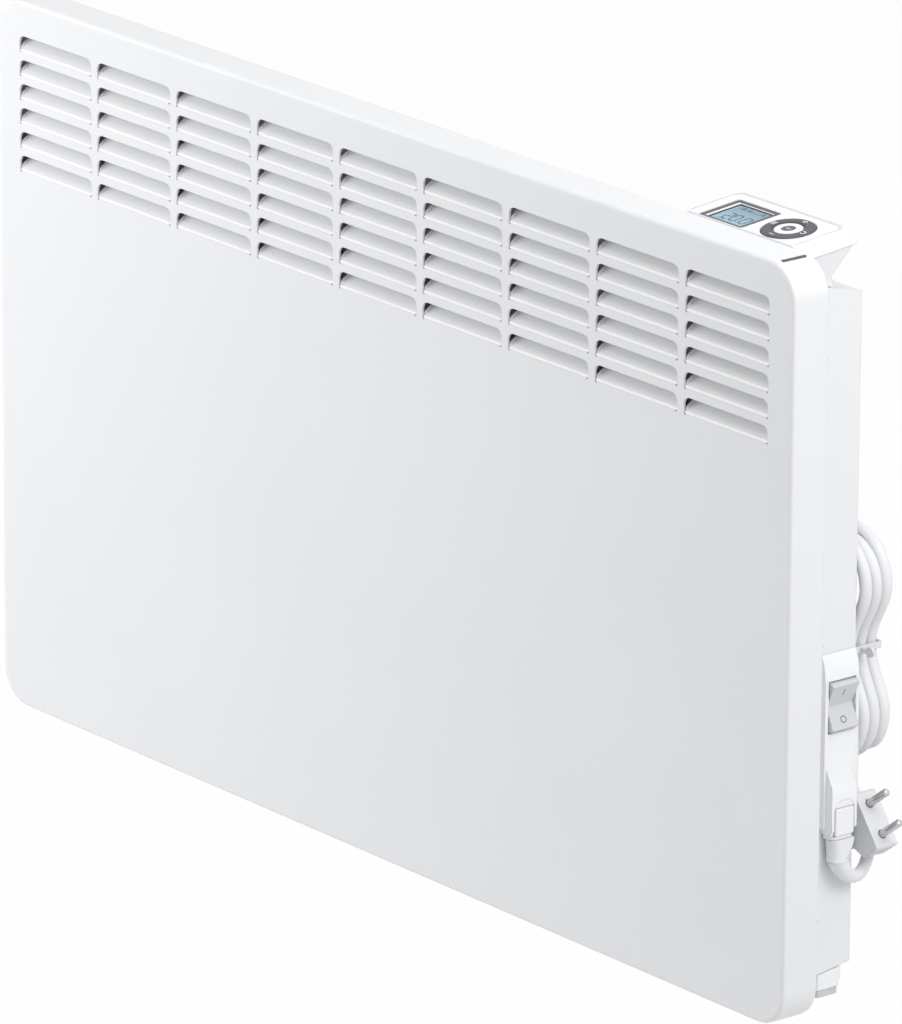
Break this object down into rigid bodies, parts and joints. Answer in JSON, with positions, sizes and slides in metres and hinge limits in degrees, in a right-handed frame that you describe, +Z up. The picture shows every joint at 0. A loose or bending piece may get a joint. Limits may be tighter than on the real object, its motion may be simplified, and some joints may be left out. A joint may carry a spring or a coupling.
{
  "type": "wall panel convector heater",
  "caption": "White wall panel convector heater: louvred front, rear casing, tilting ring key and display behind the top edge, rocker switch, tied lead, wall bracket it lifts off.",
  "frame": {"origin": "centre of the upper wall crossbar, on its back face against the wall", "axes": "+X to the right seen from the room, +Y into the wall, +Z up"},
  "size_m": [0.738, 0.104, 0.4542],
  "materials": {
    "white_coat": "satin",
    "white_plastic": "satin",
    "warm_plastic": "satin",
    "grey_key": "matte",
    "dark_frame": "satin",
    "display_window": "gloss",
    "board": "matte",
    "grey_rubber": "matte",
    "cord_sheath": "satin",
    "zinc_steel": "satin",
    "aluminium": "satin",
    "pin_metal": "polished",
    "insulator": "matte"
  },
  "bodies": {
    "bracket": {"crossbar_upper": "zinc_steel", "crossbar_lower": "zinc_steel", "upright_left": "zinc_steel", "upright_right": "zinc_steel"},
    "latch_left": {"top_latch_left": "warm_plastic"},
    "latch_right": {"top_latch_right": "warm_plastic"},
    "rocker_switch": {"rocker": "warm_plastic"},
    "ring_tilt": {"ring_gimbal": "warm_plastic"},
    "ring": {"ring_key": "grey_key"},
    "ok_button": {"ok_key": "white_plastic", "ok_lens": "grey_rubber"},
    "heater": {"front_panel": "white_coat", "rear_casing": "white_coat", "control_cover": "white_plastic", "control_base": "white_plastic", "display_frame": "dark_frame", "display_glass": "display_window", "display_module": "warm_plastic", "circuit_board": "board", "key_mat": "grey_rubber", "side_fitting": "warm_plastic", "switch_body": "insulator", "cord_connector": "warm_plastic", "strain_relief": "cord_sheath", "support_shoe_left": "warm_plastic", "support_shoe_right": "warm_plastic", "shoe_pad_left": "grey_rubber", "shoe_pad_right": "grey_rubber", "element_plate_left": "zinc_steel", "element_plate_right": "zinc_steel", "heating_element": "aluminium", "heat_shield": "zinc_steel", "thermal_cutout": "insulator", "room_sensor": "warm_plastic", "terminal_block": "warm_plastic", "supply_cord": "cord_sheath", "cord_hank": "cord_sheath", "hank_tie": "warm_plastic", "cord_tail": "cord_sheath", "plug_body": "warm_plastic", "plug_pin_left": "pin_metal", "plug_pin_right": "pin_metal", "flange_screw_1": "zinc_steel", "flange_screw_2": "zinc_steel", "flange_screw_3": "zinc_steel", "flange_screw_4": "zinc_steel", "flange_screw_5": "zinc_steel", "flange_screw_6": "zinc_steel", "pod_screw_1": "zinc_steel", "side_screw_1": "zinc_steel", "pod_screw_2": "zinc_steel", "side_screw_2": "zinc_steel"}
  },
  "joints": [
    {"name": "heater_lift", "type": "slide", "parent": "bracket", "child": "heater", "axis": [0, 0, 1], "range_m": [0, 0.012]},
    {"name": "latch_left_press", "type": "slide", "parent": "bracket", "child": "latch_left", "axis": [0, 0, -1], "range_m": [0, 0.006], "stiffness_N_per_m": 300, "springref_m": -0.004},
    {"name": "latch_right_press", "type": "slide", "parent": "bracket", "child": "latch_right", "axis": [0, 0, -1], "range_m": [0, 0.006], "stiffness_N_per_m": 300, "springref_m": -0.004},
    {"name": "rocker_tip", "type": "hinge", "parent": "heater", "child": "rocker_switch", "pos_m": [0.3358, -0.0412, -0.1545], "axis": [0, 1, 0], "range_deg": [-7, 7]},
    {"name": "ring_tilt_rear", "type": "hinge", "parent": "heater", "child": "ring_tilt", "pos_m": [0.313, -0.06043, 0.11702], "axis": [1, 0, 0], "range_deg": [-2.5, 2.5], "stiffness_Nm_per_rad": 0.25},
    {"name": "ring_tilt_side", "type": "hinge", "parent": "ring_tilt", "child": "ring", "pos_m": [0.313, -0.06058, 0.11851], "axis": [0, 0.9954, 0.0958], "range_deg": [-2.5, 2.5], "stiffness_Nm_per_rad": 0.25},
    {"name": "ok_press", "type": "slide", "parent": "heater", "child": "ok_button", "axis": [0, 0.0958, -0.9954], "range_m": [0, 0.0006], "stiffness_N_per_m": 500, "springref_m": -0.001}
  ]
}
